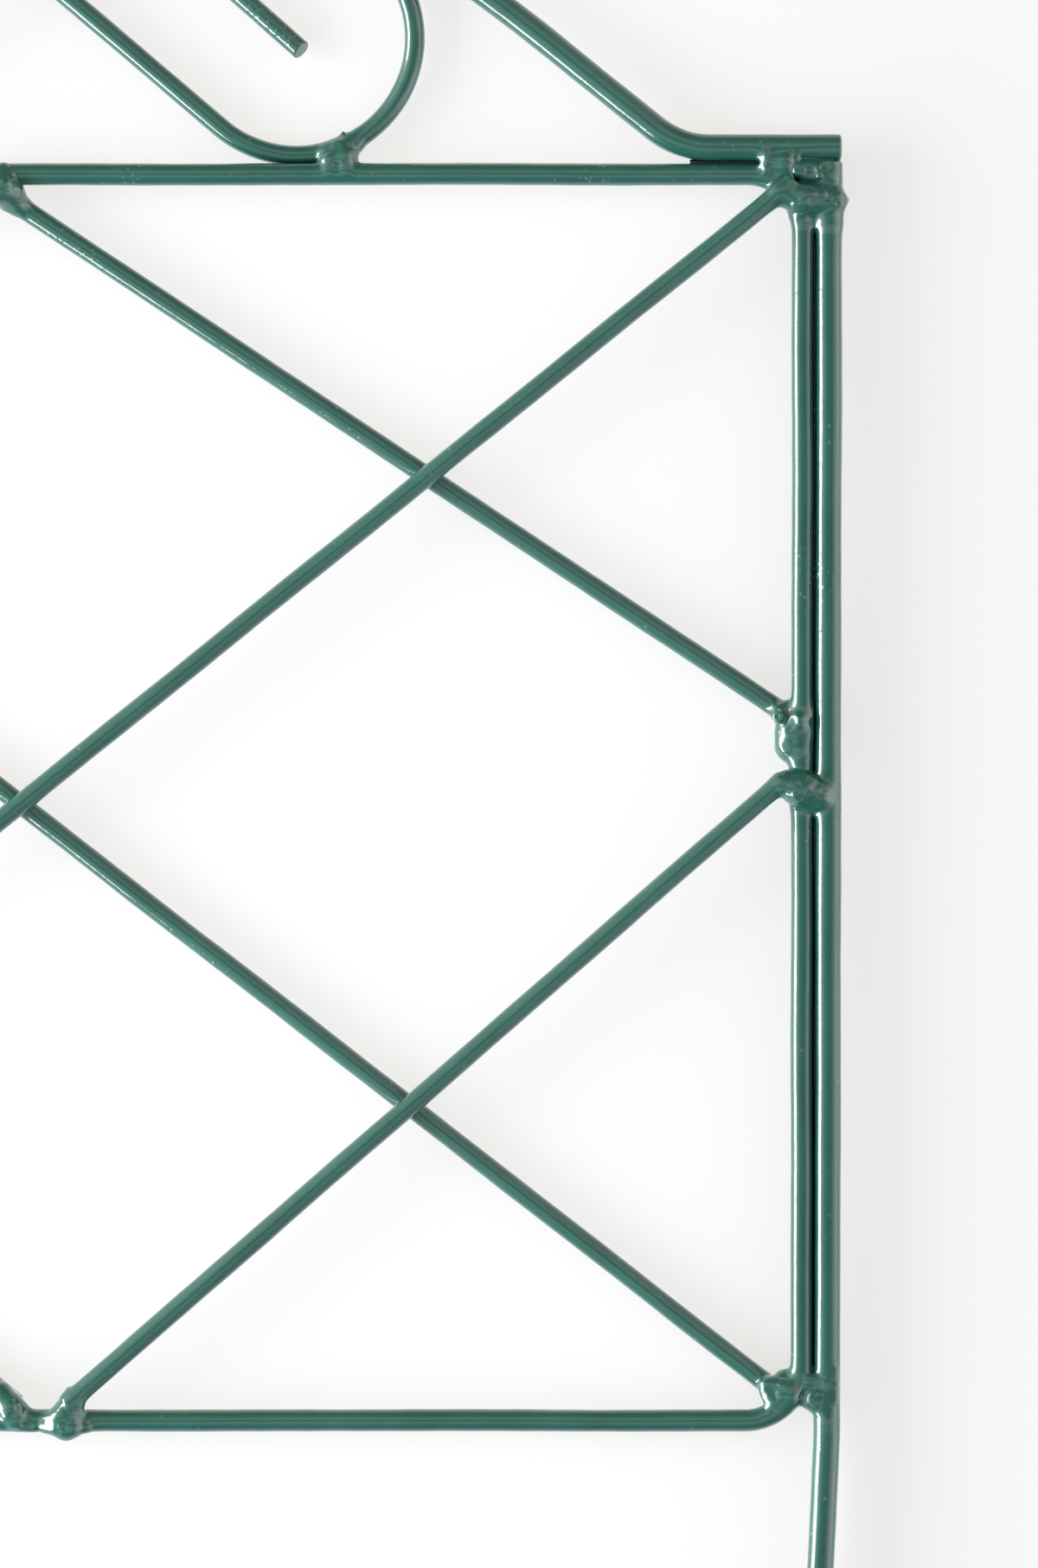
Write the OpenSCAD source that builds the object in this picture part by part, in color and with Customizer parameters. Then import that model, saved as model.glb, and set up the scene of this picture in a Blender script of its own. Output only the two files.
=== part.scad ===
// Espalier frame: a welded and coated steel rod support for a climbing plant.
// The frame is drawn flat, with x to the right, y up the frame and z towards the viewer.
// It is then stood up, with its legs pointing down and the soil line at the origin.

/* [Panel] */
// Width of the frame over its posts
frame_w = 400; // [370:5:520]
// Height of the panel between the centre lines of its top and bottom bars
panel_h = 303.5; // [260:0.5:380]
// Centre-line radius of the panel ring's corners
ring_bend_r = 13.5; // [10:0.5:20]

/* [Rods] */
// Diameter of the posts and the crest arch over the coating
post_d = 6.6; // [5.5:0.1:8]
// Diameter of the panel ring over the coating
ring_d = 5.4; // [4.5:0.1:7]
// Diameter of the lattice bars over the coating
bar_d = 4.9; // [4:0.1:5.8]
// Diameter of the scrolls over the coating
scroll_d = 4.9; // [4:0.1:5.8]

/* [Legs] */
// Length of each leg below the centre line of the bottom bar
leg_len = 350; // [200:10:450]
// Inward lean of the legs
leg_lean = 2.85; // [0:0.05:5]
// Height of the bottom bar above the soil line
soil_gap = 40; // [20:5:100]

/* [Lattice] */
// Height of the upper side joints above the middle of the panel
upper_side_rise = 17.6; // [10:0.1:30]
// Height of the lower side joints above the middle of the panel
lower_side_rise = 8.4; // [-10:0.1:9]
// Distance of the top joint to the left of the middle
top_joint_shift = 12; // [0:0.5:15]
// Distance of the bottom joint to the right of the middle
bottom_joint_shift = 4.8; // [0:0.1:8]
// Distance between the feet of the two lower bars
bottom_joint_gap = 3.2; // [0:0.1:8]
// Distance by which the long bars land below the left corners
long_bar_drop = 6; // [0:0.5:8]
// Distance by which the long rear bar lands above the right bottom corner
long_bar_lift = 2; // [0:0.5:4]

/* [Crest] */
// Slope of the arch's flanks where they leave the feet
flank_angle = 38.8; // [34:0.1:40]
// Length of each level foot
foot_run = 31; // [24:0.5:40]
// Centre-line radius of the bends above the feet
foot_bend_r = 22; // [15:0.5:30]
// Length of the straight part of each flank
flank_run = 28; // [20:0.5:34]
// Centre-line radius of the arch's shoulders
shoulder_r = 508; // [480:1:600]
// Angle that each shoulder turns through
shoulder_turn = 10.5; // [9:0.5:12]

/* [Scrolls] */
// Distance of each scroll's wide turn from the centre line of its post
scroll_inset = 129.7; // [126:0.1:133]
// Slope of the scrolls' tails
tail_angle = 40.4; // [38:0.1:43]
// Slope of the run between the wide and the narrow turn
top_run_angle = 22; // [20:0.5:26]
// Length of the run between the wide and the narrow turn
top_run = 18.2; // [14:0.1:22]
// Centre-line radius of the scrolls' narrow turns
narrow_turn_r = 11.6; // [10:0.1:12.5]
// Slope of the scrolls' inner ends
inner_angle = 41.4; // [38:0.1:44]
// Length of the scrolls' straight inner ends
inner_run = 26.2; // [18:0.1:30]

/* [Welds] */
// Radius of a typical weld pool
weld_r = 4; // [3:0.1:5]
// Radius of the tacks where rods cross
tack_r = 1.9; // [1.2:0.1:2.2]

/* [Hidden] */
// Clearance between rods that lie against each other
rod_gap = 0.3;
// Clearance between a weld and the rods that it is cut to
weld_gap = 0.1;
// Growth of the rods' radii, which a weld sets to its clearance while it is cut
$cut_gap = 0;
// Clearance between the two ends of the panel ring, inside the top weld
seam_gap = 0.4;
// Bevel of the coated rod ends
end_bevel = 0.5;
// Extra diameter of the bends over the straight runs, where the bent rod swells
bend_swell = 0.02;
// Length by which a straight run reaches into the bends beside it
bend_lap = 0.4;
// Straight run between two bends that follow each other
bend_link = 1;
// Length of each post's straight part below the bottom bar
post_drop = 2;
// Centre-line radius of the bends at the heads of the legs
leg_bend_r = 60;
// Distance of each arch foot's end from the outer side of its post
foot_inset = 0.5;
// Sides of a round section
round_sides = 48;
$fn = round_sides;
// Steps of a full turn in the bends
bend_steps = 360;
// Steps of the half circle in a weld bead's profile
bead_steps = 8;

post_x = (frame_w - post_d) / 2;
ring_x = post_x - (post_d + ring_d) / 2 - rod_gap;
window_x = ring_x - ring_d / 2;
layer_z = (max(bar_d, scroll_d) + rod_gap) / 2;

// Ends of the lattice bars on the centre lines of the ring.
upper_y = panel_h / 2 + upper_side_rise;
lower_y = panel_h / 2 + lower_side_rise;
top_joint = [-top_joint_shift, panel_h];
foot_left = [bottom_joint_shift - bottom_joint_gap / 2, 0];
foot_right = [bottom_joint_shift + bottom_joint_gap / 2, 0];
long_front_ends = [[-ring_x, -long_bar_drop / 2], [ring_x, panel_h]];
long_rear_ends = [[-ring_x, panel_h - long_bar_drop], [ring_x, long_bar_lift]];
upper_left_ends = [[-ring_x, upper_y], top_joint];
upper_right_ends = [top_joint, [ring_x, upper_y]];
lower_left_ends = [[-ring_x, lower_y], foot_left];
lower_right_ends = [foot_right, [ring_x, lower_y]];

// Height of a bar's centre line at a given x, and the point where two bars cross.
function bar_slope(ends) = (ends[1].y - ends[0].y) / (ends[1].x - ends[0].x);
function height_on(ends, x) = ends[0].y + bar_slope(ends) * (x - ends[0].x);
function cross_x(a, b) = (height_on(b, 0) - height_on(a, 0)) / (bar_slope(a) - bar_slope(b));
function crossing(a, b) = [cross_x(a, b), height_on(a, cross_x(a, b)), 0];

// Crest arch: a level foot, a bend, a straight flank, a shoulder, and the crown over the middle.
foot_y = panel_h + (ring_d + post_d) / 2 + rod_gap;
foot_end_x = post_x + post_d / 2 - foot_inset - end_bevel;
flank_end_x = foot_end_x - foot_run - foot_bend_r * sin(flank_angle) - flank_run * cos(flank_angle);
flank_end_y = foot_y + foot_bend_r * (1 - cos(flank_angle)) + flank_run * sin(flank_angle);
crown_angle = flank_angle - shoulder_turn;
shoulder_centre = [flank_end_x - shoulder_r * sin(flank_angle), flank_end_y - shoulder_r * cos(flank_angle)];
crown_end_x = shoulder_centre.x + shoulder_r * sin(crown_angle) - bend_link * cos(crown_angle);
crown_end_y = shoulder_centre.y + shoulder_r * cos(crown_angle) + bend_link * sin(crown_angle);
crown_r = crown_end_x / sin(crown_angle);
crown_centre = [0, crown_end_y - crown_r * cos(crown_angle)];

// Scroll: its wide turn fills the room between the top bar and the arch's shoulder.
scroll_x = post_x - scroll_inset;
arch_reach = sqrt(pow((post_d + scroll_d) / 2 + rod_gap, 2) - pow(layer_z, 2));
bar_reach = sqrt(pow((ring_d + scroll_d) / 2 + rod_gap, 2) - pow(layer_z, 2));
turn_seat = [scroll_x, panel_h + bar_reach] - shoulder_centre;
turn_room = shoulder_r - arch_reach;
wide_turn_r = (pow(turn_room, 2) - turn_seat * turn_seat) / (2 * (turn_room + turn_seat.y));
wide_centre = [scroll_x, panel_h + bar_reach + wide_turn_r];
shoulder_dir = (wide_centre - shoulder_centre) / norm(wide_centre - shoulder_centre);
crown_touch = wide_centre + (wide_turn_r + scroll_d / 2) * shoulder_dir;
tail_foot = wide_centre - wide_turn_r * [sin(tail_angle), cos(tail_angle)];
tail_dir = [-cos(tail_angle), sin(tail_angle)];
tail_arm = tail_foot - crown_centre;
tail_lean = tail_arm * tail_dir;
tail_run = sqrt(pow(tail_lean, 2) - tail_arm * tail_arm + pow(crown_r - arch_reach, 2)) - tail_lean - end_bevel;
tail_end = tail_foot + tail_run * tail_dir;
tail_crossing_y = tail_foot.y + tail_foot.x * tan(tail_angle);

post_top = foot_y - post_d / 2 - rod_gap;
leg_run = (leg_len - post_drop - leg_bend_r * sin(leg_lean)) / cos(leg_lean) - end_bevel;

steel_colour = "#4b7165";
weld_colour = "#54796d";

// Stands a flat drawing up, with the soil line at the origin.
module stand_up() {
  translate([0, 0, soil_gap]) rotate([90, 0, 0]) children();
}

// Bevelled end of a rod, pointing along x.
module rod_end(d) {
  rotate([0, 90, 0]) cylinder(d1 = d, d2 = d - 2 * end_bevel, h = end_bevel + $cut_gap);
}

// One bend, starting at the origin along x. A positive angle turns left.
module bend(d, r, angle) {
  mirror([0, angle < 0 ? 1 : 0, 0]) translate([0, r, 0]) rotate(-90)
    rotate_extrude(angle = abs(angle), $fn = bend_steps) translate([r, 0]) circle(d = d, $fn = round_sides);
}

// A rod bent along a list of steps, each a straight run, a bend radius and a bend angle.
module bent_rod(d, steps, i = 0) {
  run = steps[i][0];
  r = steps[i][1];
  angle = steps[i][2];
  lap_before = i > 0 ? bend_lap : 0;
  lap_after = angle != 0 ? bend_lap : 0;
  translate([-lap_before, 0, 0]) rotate([0, 90, 0]) cylinder(d = d, h = lap_before + run + lap_after);
  translate([run, 0, 0]) {
    if (angle != 0) bend(d + bend_swell, r, angle);
    translate([r * sin(abs(angle)), sign(angle) * r * (1 - cos(angle)), 0]) rotate(angle) {
      if (i + 1 < len(steps)) bent_rod(d, steps, i + 1);
      else rod_end(d);
    }
  }
}

// A bent rod placed in the drawing, with both ends bevelled.
module placed_rod(d, start, heading, z, steps) {
  cut_d = d + 2 * $cut_gap;
  translate([start.x, start.y, z]) rotate(heading) {
    bent_rod(cut_d, steps);
    rotate(180) rod_end(cut_d);
  }
}

// The panel's opening inside the ring, which trims the lattice bars.
module panel_window() {
  inset = rod_gap - $cut_gap;
  w = 2 * window_x - 2 * inset;
  h = panel_h - ring_d - 2 * inset;
  r = ring_bend_r - ring_d / 2 - inset;
  translate([0, panel_h / 2, 0]) linear_extrude(height = 4 * bar_d, center = true) {
    square([w - 2 * r, h], center = true);
    square([w, h - 2 * r], center = true);
    for (x = [-1, 1], y = [-1, 1]) translate([x * (w / 2 - r), y * (h / 2 - r)]) circle(r = r);
  }
}

// A straight bar between two joints, mitred to the inside of the ring.
module lattice_bar(ends, z) {
  v = ends[1] - ends[0];
  intersection() {
    panel_window();
    translate([ends[0].x, ends[0].y, z]) rotate(atan2(v.y, v.x)) translate([-2 * ring_d, 0, 0])
      rotate([0, 90, 0]) cylinder(d = bar_d + 2 * $cut_gap, h = norm(v) + 4 * ring_d);
  }
}

// The rods, each in the flat drawing.
module ring_rod() {
  half_run = ring_x - ring_bend_r;
  side_run = panel_h - 2 * ring_bend_r;
  seam_x = -top_joint_shift / 2;
  placed_rod(ring_d, [seam_x - seam_gap / 2 - end_bevel, panel_h], 180, 0, [
    [half_run + seam_x - seam_gap / 2 - end_bevel, ring_bend_r, 90],
    [side_run, ring_bend_r, 90],
    [2 * half_run, ring_bend_r, 90],
    [side_run, ring_bend_r, 90],
    [half_run - seam_x - seam_gap / 2 - end_bevel, 0, 0]
  ]);
}

module post_rod(side) {
  mirror([side < 0 ? 1 : 0, 0, 0])
    placed_rod(post_d, [post_x, post_top - end_bevel], -90, 0, [
      [post_top - end_bevel + post_drop, leg_bend_r, -leg_lean],
      [leg_run, 0, 0]
    ]);
}

module arch_rod() {
  placed_rod(post_d, [foot_end_x, foot_y], 180, 0, [
    [foot_run, foot_bend_r, -flank_angle],
    [flank_run, shoulder_r, shoulder_turn],
    [bend_link, crown_r, 2 * crown_angle],
    [bend_link, shoulder_r, shoulder_turn],
    [flank_run, foot_bend_r, -flank_angle],
    [foot_run, 0, 0]
  ]);
}

module scroll_rod(side) {
  mirror([side < 0 ? 1 : 0, 0, 0])
    placed_rod(scroll_d, tail_end, -tail_angle, -side * layer_z, [
      [tail_run, wide_turn_r, tail_angle + 180 - top_run_angle],
      [top_run, narrow_turn_r, 180 + top_run_angle - inner_angle],
      [inner_run, 0, 0]
    ]);
}

module upper_bar(side) {
  lattice_bar(side < 0 ? upper_left_ends : upper_right_ends, -side * layer_z);
}

module lower_bar(side) {
  lattice_bar(side < 0 ? lower_left_ends : lower_right_ends, side * layer_z);
}

module long_bar(front) {
  lattice_bar(front ? long_front_ends : long_rear_ends, front ? layer_z : -layer_z);
}

// A bead of weld along z, round at both ends, as one revolve.
module bead(run, r_from, r_to) {
  turn = 180 / bead_steps;
  from_end = [for (a = [-90 + turn / 2 : turn : 0]) r_from * [cos(a), sin(a)]];
  to_end = [for (a = [turn / 2 : turn : 90]) [r_to * cos(a), run + r_to * sin(a)]];
  foot = [0, from_end[0].y];
  tip = [0, to_end[len(to_end) - 1].y];
  rotate_extrude() polygon(concat([foot], from_end, to_end, [tip]));
}

// A weld bead beside a joint, cut to sit on the rods that it joins.
// The bead's ends are offsets from the joint in weld radii, and so are its end radii.
module weld(side, joint, from_shares, to_shares, size_shares) {
  across = [side, 1, 1];
  from = [for (i = [0 : 2]) across[i] * (joint[i] + weld_r * from_shares[i])];
  to = [for (i = [0 : 2]) across[i] * (joint[i] + weld_r * to_shares[i])];
  v = to - from;
  $cut_gap = weld_gap;
  color(weld_colour) stand_up() difference() {
    translate(from) rotate([0, acos(v.z / norm(v)), atan2(v.y, v.x)])
      bead(norm(v), weld_r * size_shares[0], weld_r * size_shares[1]);
    children();
  }
}

// Offsets and sizes of the welds as shares of the weld radius.
module top_centre_weld() {
  weld(1, [-top_joint_shift / 2, panel_h, 0], [-0.9, -0.9, 0.3], [1.3, -1.5, 0.1], [1, 0.8]) {
    ring_rod();
    upper_bar(-1);
    upper_bar(1);
  }
}

module bottom_left_weld() {
  weld(1, [foot_left.x, 0, 0], [-2, 1.1, 0.35], [-1.1, 0.15, 0.35], [0.8, 1]) {
    ring_rod();
    lower_bar(-1);
  }
}

module bottom_right_weld() {
  weld(1, [foot_right.x, 0, 0], [1.75, 1.15, 0.3], [1.25, -0.2, 0.35], [0.78, 1.12]) {
    ring_rod();
    lower_bar(1);
  }
}

module upper_side_weld(side) {
  weld(side, [window_x, upper_y, 0], [-0.85, 0.5, 0.15], [-0.35, -1.75, 0.1], [0.85, 0.6]) {
    ring_rod();
    upper_bar(side);
    lower_bar(side);
  }
}

module lower_side_weld(side) {
  weld(side, [window_x, lower_y, 0], [-0.65, -1.25, 0.45], [2.2, -2.2, 0.4], [1.05, 0.85]) {
    ring_rod();
    post_rod(side);
    lower_bar(side);
  }
}

module top_corner_weld(side) {
  weld(side, [window_x, panel_h, 0], [-0.1, -1.5, 0.45], [2.45, -1.9, 0.35], [1.05, 0.75]) {
    ring_rod();
    post_rod(side);
    long_bar(side > 0);
  }
}

module crest_foot_weld(side) {
  weld(side, [post_x, (panel_h + foot_y) / 2, 0], [-3.5, -0.1, 0.4], [-3.1, 0.1, 0.4], [0.75, 0.75]) {
    ring_rod();
    arch_rod();
  }
}

module post_head_weld(side) {
  weld(side, [post_x, post_top, 0], [-1.4, -0.3, 0.35], [-0.1, -0.25, 0.35], [0.85, 0.75]) {
    ring_rod();
    post_rod(side);
    arch_rod();
  }
}

module base_bar_weld(side) {
  weld(side, [window_x, 0, 0], [-1.1, 1.55, 0.3], [-0.3, 1.5, 0.3], [0.95, 0.85]) {
    ring_rod();
    long_bar(side < 0);
  }
}

module base_post_weld(side) {
  weld(side, [post_x, 0, 0], [-0.75, 1.5, 0.45], [-0.1, 0.2, 0.35], [0.8, 0.55]) {
    ring_rod();
    post_rod(side);
  }
}

module scroll_foot_weld(side) {
  weld(side, [scroll_x, panel_h, 0], [2.55, 1.35, 0.3], [2.6, 0.1, 0.4], [0.95, 0.85]) {
    ring_rod();
    scroll_rod(side);
  }
}

module scroll_arch_weld(side) {
  weld(side, [crown_touch.x, crown_touch.y, 0], [-0.45, 0.15, 0.45 * side], [0.4, -0.2, 0.4 * side], [0.9, 0.85]) {
    arch_rod();
    scroll_rod(side);
  }
}

module tail_weld(side) {
  weld(side, [tail_end.x, tail_end.y, 0], [-0.5, 0.3, 0.2], [0.5, 0.2, 0.25], [0.85, 0.8]) {
    arch_rod();
    scroll_rod(side);
  }
}

module tail_crossing_weld() {
  $cut_gap = weld_gap;
  color(weld_colour) stand_up() difference() {
    translate([0, tail_crossing_y, 0]) sphere(r = tack_r);
    scroll_rod(-1);
    scroll_rod(1);
  }
}

// Tacks in the corners between the lattice bars that cross.
module lattice_tacks() {
  color(weld_colour) stand_up() {
    for (rear = [long_rear_ends, upper_right_ends]) tack(long_front_ends, rear) {
      long_bar(true);
      lattice_bar(rear, -layer_z);
    }
    tack(long_front_ends, lower_left_ends) {
      long_bar(true);
      lower_bar(-1);
    }
    for (front = [lower_right_ends, upper_left_ends]) tack(front, long_rear_ends) {
      lattice_bar(front, layer_z);
      long_bar(false);
    }
  }
}

module tack(front, rear) {
  $cut_gap = weld_gap;
  difference() {
    translate(crossing(front, rear)) sphere(r = tack_r);
    children();
  }
}

module panel_ring() { color(steel_colour) stand_up() ring_rod(); }
module post(side) { color(steel_colour) stand_up() post_rod(side); }
module crest_arch() { color(steel_colour) stand_up() arch_rod(); }
module scroll(side) { color(steel_colour) stand_up() scroll_rod(side); }
module long_lattice_bar(front) { color(steel_colour) stand_up() long_bar(front); }
module upper_lattice_bar(side) { color(steel_colour) stand_up() upper_bar(side); }
module lower_lattice_bar(side) { color(steel_colour) stand_up() lower_bar(side); }

panel_ring();
post(-1);  // left_post
post(1);  // right_post
crest_arch();
scroll(-1);  // left_scroll
scroll(1);  // right_scroll
long_lattice_bar(true);  // long_front_bar
long_lattice_bar(false);  // long_rear_bar
upper_lattice_bar(-1);  // upper_left_bar
upper_lattice_bar(1);  // upper_right_bar
lower_lattice_bar(-1);  // lower_left_bar
lower_lattice_bar(1);  // lower_right_bar
top_centre_weld();
bottom_left_weld();
bottom_right_weld();
upper_side_weld(-1);  // left_upper_side_weld
upper_side_weld(1);  // right_upper_side_weld
lower_side_weld(-1);  // left_lower_side_weld
lower_side_weld(1);  // right_lower_side_weld
top_corner_weld(-1);  // left_top_corner_weld
top_corner_weld(1);  // right_top_corner_weld
crest_foot_weld(-1);  // left_crest_foot_weld
crest_foot_weld(1);  // right_crest_foot_weld
post_head_weld(-1);  // left_post_head_weld
post_head_weld(1);  // right_post_head_weld
base_bar_weld(-1);  // left_base_bar_weld
base_bar_weld(1);  // right_base_bar_weld
base_post_weld(-1);  // left_base_post_weld
base_post_weld(1);  // right_base_post_weld
scroll_foot_weld(-1);  // left_scroll_foot_weld
scroll_foot_weld(1);  // right_scroll_foot_weld
scroll_arch_weld(-1);  // left_scroll_arch_weld
scroll_arch_weld(1);  // right_scroll_arch_weld
tail_weld(-1);  // left_tail_weld
tail_weld(1);  // right_tail_weld
tail_crossing_weld();
lattice_tacks();
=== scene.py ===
"""Espalier frame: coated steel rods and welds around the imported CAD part.

Shapes are drawn flat in millimetres, with x to the right, y up the frame and z towards the viewer,
and then stood up in the part's own frame, in metres.
"""
import math

import bpy
import numpy as np
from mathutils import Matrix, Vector


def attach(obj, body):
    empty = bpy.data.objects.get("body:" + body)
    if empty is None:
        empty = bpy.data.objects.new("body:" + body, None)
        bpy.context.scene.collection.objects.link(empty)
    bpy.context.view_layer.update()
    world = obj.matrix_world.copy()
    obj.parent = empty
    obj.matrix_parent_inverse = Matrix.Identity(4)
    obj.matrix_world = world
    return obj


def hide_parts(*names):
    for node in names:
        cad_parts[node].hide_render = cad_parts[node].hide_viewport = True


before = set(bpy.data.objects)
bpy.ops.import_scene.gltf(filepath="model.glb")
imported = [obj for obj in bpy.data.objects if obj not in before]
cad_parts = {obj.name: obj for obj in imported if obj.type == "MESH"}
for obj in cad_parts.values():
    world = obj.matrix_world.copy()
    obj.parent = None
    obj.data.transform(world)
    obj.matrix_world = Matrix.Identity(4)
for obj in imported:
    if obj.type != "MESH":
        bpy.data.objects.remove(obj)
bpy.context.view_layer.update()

# Sizes of the frame, in millimetres and degrees, from the part's source. The first and last runs of a
# rod leave room for its rounded ends.
SOIL_GAP = 40.0
PANEL_H = 303.5
POST_R, RING_R, BAR_R, SCROLL_R = 3.3, 2.7, 2.45, 2.45
POST_X, RING_X = 196.7, 190.4
WINDOW_X = RING_X - RING_R
LAYER_Z = 2.6
RING_BEND_R, RING_BEND = 13.5, 90
SEAM_START_X, SEAM_END_X = -6.7, -5.3
FOOT_Y, FOOT_END_X = 310.0, 199
FOOT_RUN, FOOT_BEND_R, FOOT_BEND = 31, 22, -38.8
FLANK_RUN, SHOULDER_R, SHOULDER_BEND = 28, 508, 10.5
CROWN_RUN, CROWN_R, CROWN_BEND = 1, 113.98, 56.6
POST_GAP = 0.8
LEG_DROP, LEG_BEND_R, LEG_LEAN, LEG_RUN = 2, 60, 2.85, 344.9
SCROLL_X = POST_X - 129.7
SCROLL_RISE = 4.791
TAIL_ANGLE, TAIL_RUN = 40.4, 109.35
WIDE_TURN_R, WIDE_TURN = 28.69, 198.4
TOP_RUN, NARROW_TURN_R, NARROW_TURN = 18.2, 11.6, 160.6
INNER_RUN = 26.2

# Joints of the lattice: heights on the ring's sides, and places along its top and bottom bars.
UPPER_Y, LOWER_Y = PANEL_H / 2 + 17.6, PANEL_H / 2 + 8.4
FRONT_FOOT_Y, REAR_HEAD_Y, REAR_FOOT_Y = -3, PANEL_H - 6, 2
TOP_JOINT_X, LEFT_JOINT_X, RIGHT_JOINT_X = -12, 3.2, 6.4
# Where the two lower short bars stop inside their welds, short of the joints.
SIDE_STOP_X, LEFT_STOP_X, RIGHT_STOP_X = 185.0, -1.6, 11.6
# How far the ends of the other bars run into the ring's rods.
BAR_INSET = 0.5

# How a rod's line and its coat vary, and how its ends are cut, in millimetres.
PITCH, BAR_PITCH = 0.8, 1.2
WANDER, WANDER_FADE, WANDER_WAVES, WANDER_RANGE = 0.16, 20, (55, 95, 160), (0.3, 1)
SETTLE, SETTLE_MOST, SETTLE_FROM_X, SETTLE_OVER = 0.45, 1.05, 150, 30
SWELL, SWELL_WAVES, SWELL_RANGE = 0.022, (13, 29, 61), (0.4, 1)
EDGE, SCROLL_EDGE, SCROLL_SLANT = 0.75, 0.3, 0.32
CAP_ANGLES, CAP_SHARES, CAP_DOME = (20, 40, 60, 80, 90), (0.75, 0.45, 0.2), 0.05
SLANT_RINGS, SLANT_REACH = 18, 3

# Coat in the grooves between rods that lie side by side. Its near-black colour is painted shade in the gap
# between the rods.
GROOVE_R, GROOVE_Z, GROOVE_SIDES, GROOVE_EDGE = 0.7, -0.9, 16, 0.2
SIDE_GROOVE_Y, CREST_GROOVE_X = (8, 296), (163, 190)

# Welds: their grid, the rods in it, the sizes of lumps and edges, and the coat that runs onto the rods.
WELD_PITCH, WELD_MARGIN, WELD_DEPTH = 0.24, 4, 8
ROD_STEP, ROD_MARGIN, ROD_END, ROD_END_EDGE = 3, 6, 0.65, 0.7
LUMP_WAVES = (7.5, 4.6, 3.1, 2.1)
FACET_EDGE, LIMIT_EDGE, MARK_EDGE, MARK_REACH = 0.3, 0.4, 0.12, 1.1
FILLET_FADE, FILLET_LEAST = 2.5, 0.02
RUN_ON, RUN_ON_FADE, RUN_ON_SINK = 0.24, 1.7, 0.05
BURIED = 0.34
SMOOTH_ROUNDS, SMOOTH_IN, SMOOTH_OUT = 3, 0.5, -0.52
TACK_R, TACK_H = 1.5, 0.01

# Where the seeds start, and the range of a random phase.
WANDER_SEED, ROD_SEED, GROOVE_SEED, WELD_SEED = 100, 200, 300, 500
PHASE = 6.28


def in_frame(points):
    """Drawing points in millimetres as points of the part's frame in metres."""
    p = np.asarray(points, float)
    return np.stack([p[..., 0], -p[..., 2], p[..., 1] + SOIL_GAP], -1) / 1000


def along(points):
    """The distance along a line of points, at each point."""
    return np.concatenate([[0], np.cumsum(np.linalg.norm(np.diff(points, axis=0), axis=1))])


# Rods: their lines.

def trace(start, heading, steps, z):
    """Points along a bent rod. Each step is a straight run, a bend radius and a bend angle."""
    here, angle = np.array(start, float), math.radians(heading)
    points = [here.copy()]
    for run, radius, turn in steps:
        ahead = np.array([math.cos(angle), math.sin(angle)])
        count = max(1, round(run / PITCH))
        points += [here + ahead * run * (i + 1) / count for i in range(count)]
        here = here + ahead * run
        if turn:
            arc = math.radians(turn)
            to_centre = math.copysign(radius, arc) * np.array([-ahead[1], ahead[0]])
            centre, arm = here + to_centre, -to_centre
            count = max(6, round(abs(arc) * radius / PITCH))
            for i in range(1, count + 1):
                c, s = math.cos(arc * i / count), math.sin(arc * i / count)
                points.append(centre + [c * arm[0] - s * arm[1], s * arm[0] + c * arm[1]])
            here, angle = points[-1].copy(), angle + arc
    points = np.array(points)
    return np.column_stack([points, np.full(len(points), float(z))])


def wander(points, seed):
    """Lets a rod wander a little from its line, as a hand-bent rod does. Its ends stay put."""
    rng = np.random.default_rng(seed)
    s = along(points)
    fade = np.clip(np.minimum(s, s[-1] - s) / WANDER_FADE, 0, 1)
    off = np.zeros_like(points)
    for wave in WANDER_WAVES:
        for axis in (0, 1, 2):
            size = rng.uniform(*WANDER_RANGE)
            off[:, axis] += size * np.sin(2 * np.pi * s / wave + rng.uniform(0, PHASE))
    return points + off * (fade * WANDER / len(WANDER_WAVES))[:, None]


def settled(points):
    """Lets the sides of the frame settle inwards towards the bottom."""
    down = np.clip((PANEL_H - points[:, 1]) / PANEL_H, 0, SETTLE_MOST)
    outer = np.clip((np.abs(points[:, 0]) - SETTLE_FROM_X) / SETTLE_OVER, 0, 1)
    points[:, 0] -= SETTLE * (down * outer) * np.sign(points[:, 0])
    return points


def clipped(start, end, z):
    """A straight lattice bar between two joints, ending just inside the ring's rods."""
    a, b = np.array(start, float), np.array(end, float)
    lo = [-WINDOW_X - BAR_INSET, RING_R - BAR_INSET]
    hi = [WINDOW_X + BAR_INSET, PANEL_H - RING_R + BAR_INSET]
    t0, t1 = 0.0, 1.0
    for k in range(2):
        d = b[k] - a[k]
        if abs(d) > 1e-9:
            near, far = sorted(((lo[k] - a[k]) / d, (hi[k] - a[k]) / d))
            t0, t1 = max(t0, near), min(t1, far)
    p, q = a + t0 * (b - a), a + t1 * (b - a)
    count = round(np.linalg.norm(q - p) / BAR_PITCH)
    points = [p + (q - p) * i / count for i in range(count + 1)]
    return np.column_stack([points, np.full(count + 1, float(z))])


def post_path(side):
    """A post's line, down from under the foot of the crest and on into the leaning leg."""
    top = FOOT_Y - POST_R - POST_GAP
    path = trace((POST_X, top), -90, [(top + LEG_DROP, LEG_BEND_R, -LEG_LEAN), (LEG_RUN, 0, 0)], 0)
    return path if side > 0 else path * [-1, 1, 1]


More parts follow.
